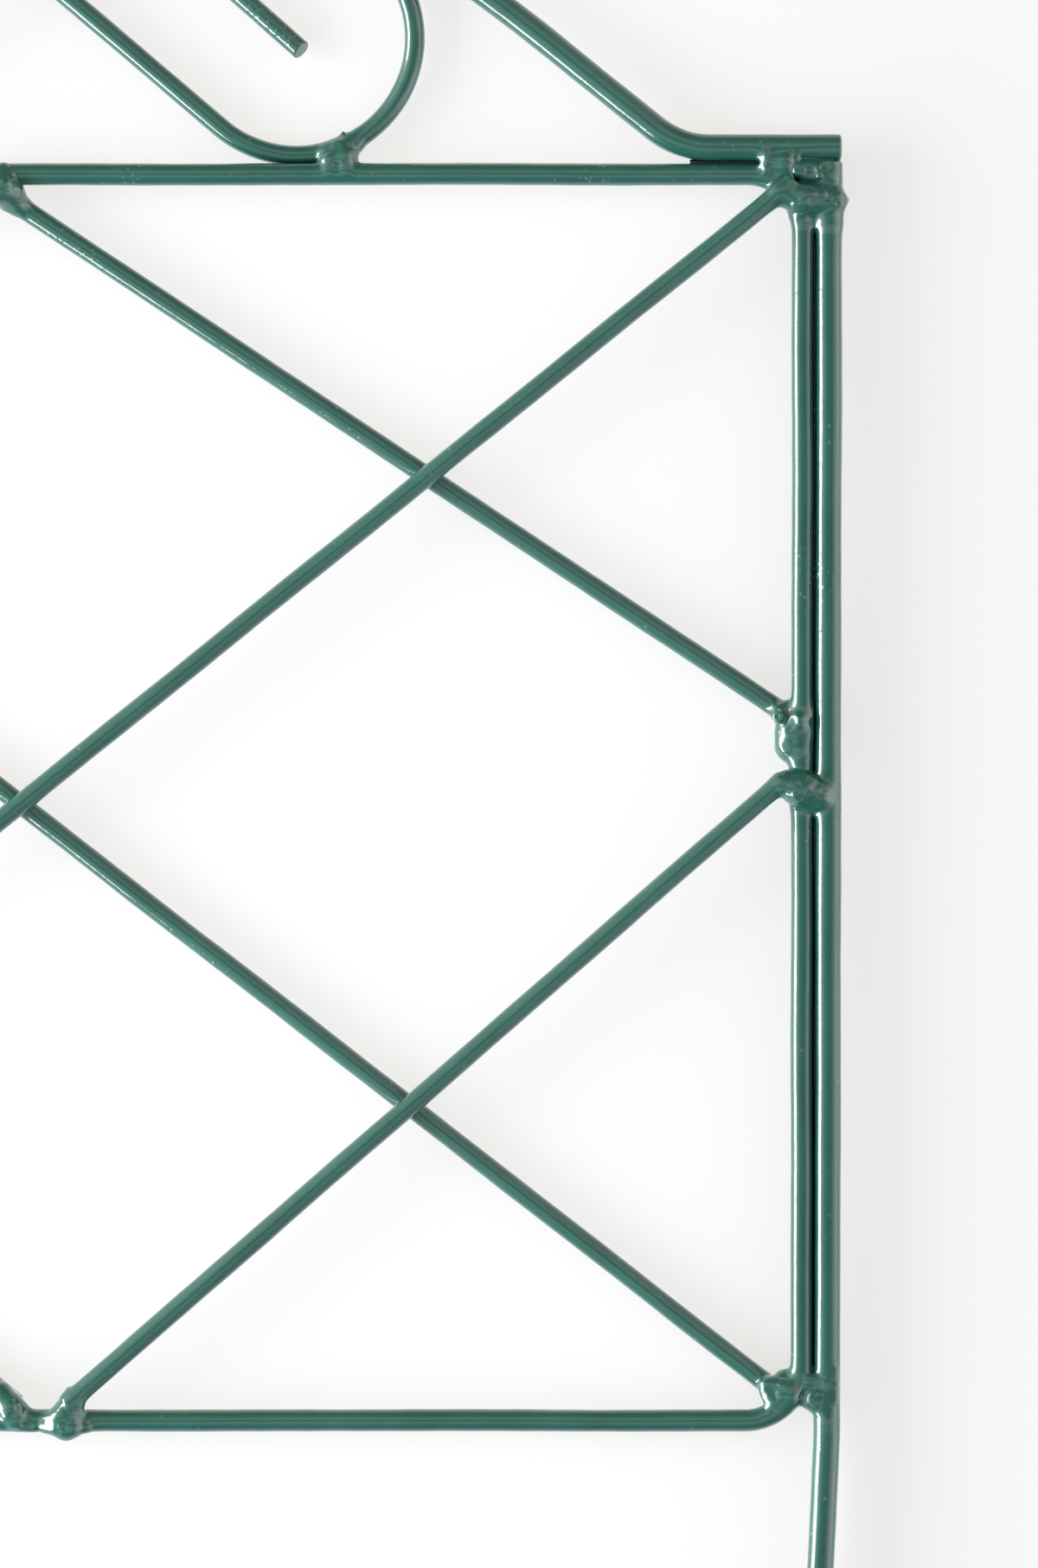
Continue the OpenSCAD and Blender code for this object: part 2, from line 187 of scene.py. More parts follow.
def scroll_path(side):
    """A scroll's line, from the tail through both turns. The left scroll lies in the front layer."""
    centre_y = PANEL_H + SCROLL_RISE + WIDE_TURN_R
    tail = math.radians(TAIL_ANGLE)
    foot = np.array([SCROLL_X - WIDE_TURN_R * math.sin(tail), centre_y - WIDE_TURN_R * math.cos(tail)])
    start = foot + TAIL_RUN * np.array([-math.cos(tail), math.sin(tail)])
    steps = [(TAIL_RUN, WIDE_TURN_R, WIDE_TURN), (TOP_RUN, NARROW_TURN_R, NARROW_TURN), (INNER_RUN, 0, 0)]
    path = trace(start, -TAIL_ANGLE, steps, -LAYER_Z)
    return path if side > 0 else path * [-1, 1, -1]


# Each lattice bar: the ends of its line, and its layer.
stop_y = LOWER_Y * (SIDE_STOP_X - RIGHT_JOINT_X) / (RING_X - RIGHT_JOINT_X)
left_stop_y = (LEFT_JOINT_X - LEFT_STOP_X) * stop_y / (SIDE_STOP_X + LEFT_JOINT_X)
right_stop_y = (RIGHT_STOP_X - RIGHT_JOINT_X) * stop_y / (SIDE_STOP_X - RIGHT_JOINT_X)
bars = {
    "long_front_bar": ((-RING_X, FRONT_FOOT_Y), (RING_X, PANEL_H), 1),
    "long_rear_bar": ((-RING_X, REAR_HEAD_Y), (RING_X, REAR_FOOT_Y), -1),
    "upper_left_bar": ((-RING_X, UPPER_Y), (TOP_JOINT_X, PANEL_H), 1),
    "upper_right_bar": ((TOP_JOINT_X, PANEL_H), (RING_X, UPPER_Y), -1),
    "lower_left_bar": ((-SIDE_STOP_X, stop_y), (LEFT_STOP_X, left_stop_y), -1),
    "lower_right_bar": ((RIGHT_STOP_X, right_stop_y), (SIDE_STOP_X, stop_y), 1),
}
arch_steps = [
    (FOOT_RUN, FOOT_BEND_R, FOOT_BEND), (FLANK_RUN, SHOULDER_R, SHOULDER_BEND),
    (CROWN_RUN, CROWN_R, CROWN_BEND), (CROWN_RUN, SHOULDER_R, SHOULDER_BEND),
    (FLANK_RUN, FOOT_BEND_R, FOOT_BEND), (FOOT_RUN, 0, 0),
]
half_run, side_run = RING_X - RING_BEND_R, PANEL_H - 2 * RING_BEND_R
corner = (RING_BEND_R, RING_BEND)
ring_steps = [
    (half_run + SEAM_START_X, *corner), (side_run, *corner), (2 * half_run, *corner), (side_run, *corner),
    (half_run - SEAM_END_X, 0, 0),
]

# Each rod: its line and its radius.
rods = {
    "panel_ring": (trace((SEAM_START_X, PANEL_H), 180, ring_steps, 0), RING_R),
    "crest_arch": (trace((FOOT_END_X, FOOT_Y), 180, arch_steps, 0), POST_R),
    "left_post": (post_path(-1), POST_R),
    "right_post": (post_path(1), POST_R),
    "left_scroll": (scroll_path(-1), SCROLL_R),
    "right_scroll": (scroll_path(1), SCROLL_R),
}
for name, (a, b, layer) in bars.items():
    rods[name] = (clipped(a, b, layer * LAYER_Z), BAR_R)
for number, name in enumerate(rods):
    points, radius = rods[name]
    points = wander(points, WANDER_SEED + number)
    if name in ("panel_ring", "left_post", "right_post"):
        points = settled(points)
    rods[name] = (points, radius)


def sweep(points, radius, seed, sides=40, edge=EDGE, slant=0.0):
    """A round tube along points, with rounded ends. The coat's thickness varies a little along it.
    slant leans the far end's cut towards the viewer."""
    p = np.asarray(points, float)
    rng = np.random.default_rng(seed)
    s = along(p)
    r = np.full(len(p), float(radius))
    for wave in SWELL_WAVES:
        r += SWELL * np.sin(2 * np.pi * s / wave + rng.uniform(0, PHASE)) * rng.uniform(*SWELL_RANGE)
    t = np.gradient(p, s, axis=0)
    t /= np.linalg.norm(t, axis=1)[:, None]
    across = np.cross(t, [0, 0, 1.0])
    across /= np.linalg.norm(across, axis=1)[:, None]
    out = np.cross(across, t)
    turn = np.linspace(0, 2 * np.pi, sides, endpoint=False)
    circle = np.cos(turn)[None, :, None] * across[:, None] + np.sin(turn)[None, :, None] * out[:, None]
    rings = list(p[:, None] + r[:, None, None] * circle)
    caps = []
    for end, sign in ((0, -1), (-1, 1)):
        cap = []
        for degrees in CAP_ANGLES:
            push = edge * math.sin(math.radians(degrees))
            shrink = edge * (1 - math.cos(math.radians(degrees)))
            cap.append(p[end] + sign * push * t[end] + (r[end] - shrink) * circle[end])
        for share in CAP_SHARES:
            push = edge + CAP_DOME * (1 - share)
            cap.append(p[end] + sign * push * t[end] + share * (r[end] - edge) * circle[end])
        caps.append(cap)
    rings = caps[0][::-1] + rings + caps[1]
    verts = np.concatenate(rings)
    if slant:
        tip = np.arange(len(verts)) >= len(verts) - SLANT_RINGS * sides
        near = tip * np.clip(((verts - p[-1]) @ t[-1] + SLANT_REACH) / SLANT_REACH, 0, 1)
        verts -= (near * slant * ((verts - p[-1]) @ out[-1] + radius))[:, None] * t[-1]
    m = len(rings)
    i, j = np.meshgrid(np.arange(m - 1), np.arange(sides), indexing="ij")
    k = (j + 1) % sides
    quads = [i * sides + j, i * sides + k, (i + 1) * sides + k, (i + 1) * sides + j]
    faces = np.stack(quads, -1).reshape(-1, 4).tolist()
    faces += [list(range(sides))[::-1], list(range((m - 1) * sides, m * sides))]
    return verts, faces


# Welds: shapes made as a field on a grid, negative inside, and meshed where it is zero.

def soft_min(a, b, k):
    """The smaller of two fields, with the corner between them rounded over k."""
    h = np.maximum(k - np.abs(a - b), 0) / k
    return np.minimum(a, b) - h * h * k / 4


def cone_field(g, a, b, ra, rb):
    """Distance to a round rod from a to b whose radius goes from ra to rb."""
    a, b = np.asarray(a, float), np.asarray(b, float)
    v = b - a
    size = float(v @ v)
    rel = [g[i] - a[i] for i in range(3)]
    h = np.clip(sum(rel[i] * v[i] for i in range(3)) / size, 0, 1) if size > 1e-9 else 0.0 * rel[0]
    d = np.sqrt(sum((rel[i] - h * v[i]) ** 2 for i in range(3)))
    return d - (ra + h * (rb - ra))


def rod_field(g, points, radius, lo, hi):
    """Distance to a bent rod, from the part of its line that is near the box."""
    near = np.all((points > lo - ROD_MARGIN) & (points < hi + ROD_MARGIN), axis=1)
    index = np.flatnonzero(near)
    if len(index) < 2:
        return None
    index = np.unique(np.concatenate([index[::ROD_STEP], index[-1:]]))
    field = None
    for i, j in zip(index[:-1], index[1:]):
        if j - i > 2 * ROD_STEP:
            continue
        d = cone_field(g, points[i], points[j], radius, radius)
        field = d if field is None else np.minimum(field, d)
    for tip, inner in ((points[0], points[1]), (points[-1], points[-2])):
        if np.all((tip > lo - ROD_MARGIN) & (tip < hi + ROD_MARGIN)):
            out = (tip - inner) / np.linalg.norm(tip - inner)
            past = sum((g[i] - tip[i]) * out[i] for i in range(3)) - ROD_END
            field = -soft_min(-field, -past, ROD_END_EDGE)
    return field


def surface_net(f, lo, pitch):
    """A smooth quad mesh of the surface where f is zero."""
    inside = f < 0
    shape = tuple(n - 1 for n in f.shape)
    corners = [(i, j, k) for i in (0, 1) for j in (0, 1) for k in (0, 1)]

    def at(values, c):
        """The values at one corner of every cell."""
        return values[c[0]:c[0] + shape[0], c[1]:c[1] + shape[1], c[2]:c[2] + shape[2]]

    count = sum(at(inside, c).astype(np.int8) for c in corners)
    active = (count > 0) & (count < 8)
    total, hits = np.zeros(shape + (3,)), np.zeros(shape)
    for c in corners:
        for axis in range(3):
            if c[axis]:
                continue
            e = tuple(1 if n == axis else c[n] for n in range(3))
            fa, fb = at(f, c), at(f, e)
            cross = (fa < 0) != (fb < 0)
            t = np.where(cross, fa / np.where(cross, fa - fb, 1), 0)
            for n in range(3):
                total[..., n] += cross * (c[n] + (t if n == axis else 0))
            hits += cross
    where = np.argwhere(active)
    verts = lo + pitch * (where + total[active] / hits[active][:, None])
    number = np.full(shape, -1)
    number[active] = np.arange(len(where))
    faces = []
    for axis in range(3):
        u, v = (axis + 1) % 3, (axis + 2) % 3
        a = [slice(1, -1)] * 3
        a[axis] = slice(0, -1)
        b = list(a)
        b[axis] = slice(1, None)
        low, high = inside[tuple(a)], inside[tuple(b)]
        for flip, mask in ((False, low & ~high), (True, ~low & high)):
            cell = np.argwhere(mask)
            if not len(cell):
                continue
            for n in (u, v):
                cell[:, n] += 1
            du, dv = np.eye(3, dtype=int)[u], np.eye(3, dtype=int)[v]
            around = ((0, 0), (1, 0), (1, 1), (0, 1))
            quad = [number[tuple((cell - x * du - y * dv).T)] for x, y in around]
            quad = np.stack(quad[::-1] if flip else quad, 1)
            faces.append(quad[(quad >= 0).all(1)])
    return verts, np.concatenate(faces)


def smoothed(verts, faces):
    """Evens out the steps that the grid leaves in a mesh, without shrinking it."""
    edges = np.concatenate([faces[:, [i, (i + 1) % 4]] for i in range(4)])
    a, b = np.concatenate([edges, edges[:, ::-1]]).T
    count = np.maximum(np.bincount(a, minlength=len(verts)), 1)[:, None]
    for share in (SMOOTH_IN, SMOOTH_OUT) * SMOOTH_ROUNDS:
        sums = [np.bincount(a, weights=verts[b, n], minlength=len(verts)) for n in range(3)]
        verts = verts + share * (np.stack(sums, 1) / count - verts)
    return verts


def pressed(f, lo, pitch, g, x, y, radius, height):
    """Raises a round button on the front of a shape, or presses a dimple where height is negative."""
    i, j = round((x - lo[0]) / pitch), round((y - lo[1]) / pitch)
    k = np.flatnonzero(f[i, j] < 0)
    if not len(k):
        return f
    k = min(k[-1], f.shape[2] - 2)
    here = np.array([x, y, lo[2] + pitch * (k + f[i, j, k] / (f[i, j, k] - f[i, j, k + 1]))])
    # Two cells either way in the drawing and one in depth, so the depth counts twice.
    slope = np.array([f[i + 2, j, k] - f[i - 2, j, k], f[i, j + 2, k] - f[i, j - 2, k],
                      2 * (f[i, j, k + 1] - f[i, j, k - 1])])
    out = slope / np.linalg.norm(slope)
    rise = abs(height)
    ball = (radius ** 2 + rise ** 2) / (2 * rise)
    centre = here + out * math.copysign(ball - rise, -height)
    reach = MARK_REACH * radius
    lens = np.maximum(cone_field(g, centre, centre, ball, ball), cone_field(g, here, here, reach, reach))
    return soft_min(f, lens, MARK_EDGE) if height > 0 else -soft_min(-f, lens, MARK_EDGE)


def weld_shape(blobs, touching, seed, facets=(), marks=(), blend=1.1, melt=1.0, lumpy=0.08, groove=0.35,
               limit=None):
    """A coated weld: blobs of filler that run onto the rods they touch. Each blob is a start, an end and
    their radii. A facet is a ball's centre and radius, the sideways and upward turn of its flat, and the
    flat's distance from the centre. A mark is a place on the front, a radius, and the height of a button
    or the depth of a dimple. blend rounds the filler into the rods, melt the blobs into each other, and
    groove the rods into each other. lumpy is the height of its lumps, and limit is as far out as the
    filler may reach."""
    pitch = WELD_PITCH
    ends = np.array([q for blob in blobs for q in blob[:2]], float)
    reach = max(max(blob[2:]) for blob in blobs) + WELD_MARGIN
    lo, hi = ends.min(0) - reach, ends.max(0) + reach
    lo[2], hi[2] = max(lo[2], -WELD_DEPTH), min(hi[2], WELD_DEPTH)
    axes = [np.arange(lo[i], hi[i] + pitch, pitch) for i in range(3)]
    g = np.meshgrid(*axes, indexing="ij")
    lump = None
    for a, b, ra, rb in blobs:
        d = cone_field(g, a, b, ra, rb)
        lump = d if lump is None else soft_min(lump, d, melt)
    for centre, radius, sideways, upward, distance in facets:
        side, up = math.radians(sideways), math.radians(upward)
        out = [math.sin(side) * math.cos(up), math.sin(up), math.cos(side) * math.cos(up)]
        flat = sum((g[i] - centre[i]) * out[i] for i in range(3)) - distance
        ball = cone_field(g, centre, centre, radius, radius)
        lump = soft_min(lump, -soft_min(-ball, -flat, FACET_EDGE), melt)
    if limit is not None:
        lump = -soft_min(-lump, np.sign(limit) * (limit - g[0]), LIMIT_EDGE)
    rng = np.random.default_rng(seed)
    for wave in LUMP_WAVES:
        k = rng.normal(size=3)
        k *= 2 * np.pi / wave / np.linalg.norm(k)
        ripple = np.sin(sum(k[i] * g[i] for i in range(3)) + rng.uniform(0, PHASE))
        lump = lump + lumpy * wave / LUMP_WAVES[0] * ripple
    apart = np.maximum(lump, 0)
    fillet = groove * np.exp(-apart / FILLET_FADE) + FILLET_LEAST
    bare = base = None
    for name in touching:
        d = rod_field(g, *rods[name], lo, hi)
        if d is None:
            continue
        bare = d if bare is None else np.minimum(bare, d)
        base = d if base is None else soft_min(base, d, fillet)
    coat = RUN_ON * np.exp(-apart / RUN_ON_FADE) - RUN_ON_SINK
    f = soft_min(lump, base - coat, blend)
    for mark in marks:
        f = pressed(f, lo, pitch, g, *mark)
    verts, faces = surface_net(f, lo, pitch)
    verts = smoothed(verts, faces)
    # What lies under the rods' own coat, or at the edge of the grid, isn't kept.
    cell = np.clip(((verts - lo) / pitch).round().astype(int), 0, np.array(f.shape) - 1)
    at_edge = (np.abs(verts - lo).min(1) < pitch) | (np.abs(verts - hi).min(1) < pitch)
    hidden = (bare[tuple(cell.T)] < -BURIED) | at_edge
    faces = faces[~hidden[faces].all(1)]
    used = np.unique(faces)
    back = np.full(len(verts), -1)
    back[used] = np.arange(len(used))
    return verts[used], back[faces].tolist()


# Materials.

# Clusters of blister bumps, whose pale specks are painted glints: a place in the drawing and a radius, in
# millimetres. A cluster thins out from CLUSTER_CORE of its radius, and CLUSTER_SPECK is the share of its
# cells with no blister.
BLISTER_GLINT_CLUSTERS = [(25.5, 303, 9), (12, 285, 12), (60, 342, 9), (67, 334, 6), (190.4, 205, 10), (140, 303, 7)]
CLUSTER_CORE, CLUSTER_SPECK = 0.5, 0.45
COAT_DARK, COAT_LIGHT = (0.009, 0.081, 0.061, 1), (0.015, 0.103, 0.079, 1)
COAT_GRIME, SPECK_GLINT = (0.010, 0.047, 0.038, 1), (0.16, 0.26, 0.23, 1)
GAP_SHADE_DARK, GAP_SHADE_PALE = (0.002, 0.005, 0.004, 1), (0.006, 0.014, 0.012, 1)
GRIME_SHARE, SPECK_GLINT_SHARE, CREVICE_SHADE = 0.35, 0.4, 0.12
GLOSS_RANGE = (0.30, 0.42)
# Noises, as scale per metre and detail, and the bands of each pattern that are used.
SHADE_NOISE, GRIME_NOISE, GLOSS_NOISE = (55.0, 4.0), (430.0, 3.0), (140.0, 3.0)
PEEL_NOISE, PIT_NOISE, BLISTER_SCALE = (330.0, 2.0), (1500.0, 1.0), 900.0
NOISE_BAND, GRIME_BAND, BLISTER_BAND, CREVICE_BAND = (0.3, 0.7), (0.62, 0.8), (0.12, 0.42), (0.08, 0.5)
# How far the painted shade in crevices reaches and how deep the bumps are, in metres. Heights are shares of
# BUMP_DEPTH.
CREVICE_REACH, CREVICE_RAYS, BUMP_DEPTH = 0.0024, 8, 0.00009
PIT_HEIGHT, BLISTER_HEIGHT = 0.10, 0.55


def nodes_of(owner):
    """The emptied node tree of a material or a world."""
    owner.use_nodes = True
    owner.node_tree.nodes.clear()
    return owner.node_tree


def add(tree, kind, values=None, **settings):
    """A new node. values are socket values or links, by socket name or number."""
    n = tree.nodes.new(kind)
    for key, value in settings.items():
        setattr(n, key, value)
    for key, value in (values or {}).items():
        socket = n.inputs[key]
        if isinstance(value, bpy.types.NodeSocket):
            tree.links.new(value, socket)
        else:
            socket.default_value = value
    return n


def calc(tree, operation, a, b=0.0):
    return add(tree, "ShaderNodeMath", {0: a, 1: b}, operation=operation).outputs[0]


def ranged(tree, value, low, high, to_low=0.0, to_high=1.0, curve="LINEAR"):
    """value carried from one range to another, and held at the ends."""
    values = {"Value": value, "From Min": low, "From Max": high, "To Min": to_low, "To Max": to_high}
    return add(tree, "ShaderNodeMapRange", values, clamp=True, interpolation_type=curve).outputs["Result"]


def mix_values(tree, share, a, b):
    return add(tree, "ShaderNodeMix", {0: share, 2: a, 3: b}).outputs[0]


def mix_colours(tree, share, a, b, blend="MIX"):
    return add(tree, "ShaderNodeMix", {0: share, 6: a, 7: b}, data_type="RGBA", blend_type=blend).outputs[2]


def coat_material(name, peel, speck, dark, light):
    """Glossy coat over steel, with orange peel, fine pits and small blister bumps whose pale specks are
    painted glints, and with painted shade in its creases. peel is the height of the orange peel, and speck
    the share of cells with no blister away from the clusters."""
    material = bpy.data.materials.new(name)
    tree = nodes_of(material)
    place = add(tree, "ShaderNodeTexCoord").outputs["Object"]

    def noise(scale, detail):
        values = {"Vector": place, "Scale": scale, "Detail": detail}
        return add(tree, "ShaderNodeTexNoise", values).outputs["Fac"]

    clusters = None
    for x, y, radius in BLISTER_GLINT_CLUSTERS:
        centre = tuple(in_frame((x, y, 0)))
        far = add(tree, "ShaderNodeVectorMath", {0: place, 1: centre}, operation="DISTANCE").outputs["Value"]
        here = ranged(tree, far, radius / 1000 * CLUSTER_CORE, radius / 1000, 1.0, 0.0)
        clusters = here if clusters is None else calc(tree, "MAXIMUM", clusters, here)
    cells = add(tree, "ShaderNodeTexVoronoi", {"Vector": place, "Scale": BLISTER_SCALE})
    pick = add(tree, "ShaderNodeSeparateColor", {0: cells.outputs["Color"]}).outputs[0]
    dot = ranged(tree, cells.outputs["Distance"], *BLISTER_BAND, 1.0, 0.0)
    rare = calc(tree, "GREATER_THAN", pick, speck)
    dense = calc(tree, "MULTIPLY", calc(tree, "GREATER_THAN", pick, CLUSTER_SPECK), clusters)
    blisters_and_glints = calc(tree, "MULTIPLY", dot, calc(tree, "MAXIMUM", rare, dense))

    colour = mix_colours(tree, ranged(tree, noise(*SHADE_NOISE), *NOISE_BAND), dark, light)
    grime = calc(tree, "MULTIPLY", ranged(tree, noise(*GRIME_NOISE), *GRIME_BAND), GRIME_SHARE)
    colour = mix_colours(tree, grime, colour, COAT_GRIME)
    # Painted glints: the blister bumps get pale specks of colour.
    colour = mix_colours(tree, calc(tree, "MULTIPLY", blisters_and_glints, SPECK_GLINT_SHARE), colour, SPECK_GLINT)
    # Painted shade: the colour darkens in creases and between rods and welds, where they shade each other.
    open_sky = add(tree, "ShaderNodeAmbientOcclusion", {"Distance": CREVICE_REACH}, samples=CREVICE_RAYS)
    crevice_shade = ranged(tree, open_sky.outputs["AO"], *CREVICE_BAND, CREVICE_SHADE, 1.0)
    colour = mix_colours(tree, 1.0, colour, crevice_shade, "MULTIPLY")

    height = calc(tree, "MULTIPLY", noise(*PEEL_NOISE), peel)
    height = calc(tree, "ADD", height, calc(tree, "MULTIPLY", noise(*PIT_NOISE), PIT_HEIGHT))
    height = calc(tree, "ADD", height, calc(tree, "MULTIPLY", blisters_and_glints, BLISTER_HEIGHT))
    bump = add(tree, "ShaderNodeBump", {"Strength": 1.0, "Distance": BUMP_DEPTH, "Height": height}).outputs[0]
    gloss = ranged(tree, noise(*GLOSS_NOISE), *NOISE_BAND, *GLOSS_RANGE)
    shader = add(tree, "ShaderNodeBsdfPrincipled", {
        "Base Color": colour, "Roughness": gloss, "Normal": bump, "IOR": 1.5, "Specular IOR Level": 0.2,
        "Coat Weight": 1.0, "Coat Roughness": 0.06, "Coat IOR": 1.75, "Coat Normal": bump})
    add(tree, "ShaderNodeOutputMaterial", {"Surface": shader.outputs[0]})
    return material


rod_coat = coat_material("green_coat", peel=0.5, speck=0.985, dark=COAT_DARK, light=COAT_LIGHT)
weld_coat = coat_material("green_coat_thick", peel=0.5, speck=0.975, dark=COAT_DARK, light=COAT_LIGHT)
# The groove coat is near black: painted shade in the gap between the rods.
gap_shade_coat = coat_material("gap_shade_coat", peel=1.6, speck=0.9, dark=GAP_SHADE_DARK, light=GAP_SHADE_PALE)


# Pieces.

def piece(name, verts, faces, material, slot, *nodes):
    """A new smooth piece that stands for CAD nodes and rides on the part."""
    mesh = bpy.data.meshes.new(name)
    mesh.from_pydata(in_frame(verts).tolist(), [], faces)
    mesh.polygons.foreach_set("use_smooth", [True] * len(mesh.polygons))
    mesh.materials.append(material)
    mesh.update()
    obj = bpy.data.objects.new(name, mesh)
    bpy.context.scene.collection.objects.link(obj)
    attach(obj, "root")
    if nodes:
        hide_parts(*nodes)


for number, (name, (points, radius)) in enumerate(rods.items()):
    slant, edge = 0.0, EDGE
    if name.endswith("scroll"):
        slant, edge = SCROLL_SLANT if name.startswith("right") else -SCROLL_SLANT, SCROLL_EDGE
    verts, faces = sweep(points, radius, ROD_SEED + number, edge=edge, slant=slant)
    piece("rod_" + name, verts, faces, rod_coat, "coated_rod", name)

for side, word in ((1, "right"), (-1, "left")):
    x = side * (POST_X + RING_X + RING_R - POST_R) / 2
    y = (PANEL_H + RING_R + FOOT_Y - POST_R) / 2
    grooves = {
        "groove_side": [(x, end) for end in SIDE_GROOVE_Y],
        "groove_crest": [(side * end, y) for end in CREST_GROOVE_X],
    }
    for groove, (a, b) in grooves.items():
        count = int(np.linalg.norm(np.subtract(b, a)) / PITCH)
        line = [np.add(a, np.subtract(b, a) * i / count) for i in range(count + 1)]
        line = np.column_stack([line, np.full(count + 1, GROOVE_Z)])
        verts, faces = sweep(line, GROOVE_R, GROOVE_SEED + side, sides=GROOVE_SIDES, edge=GROOVE_EDGE)
        piece(f"{groove}_{word}", verts, faces, gap_shade_coat, "coated_rod")

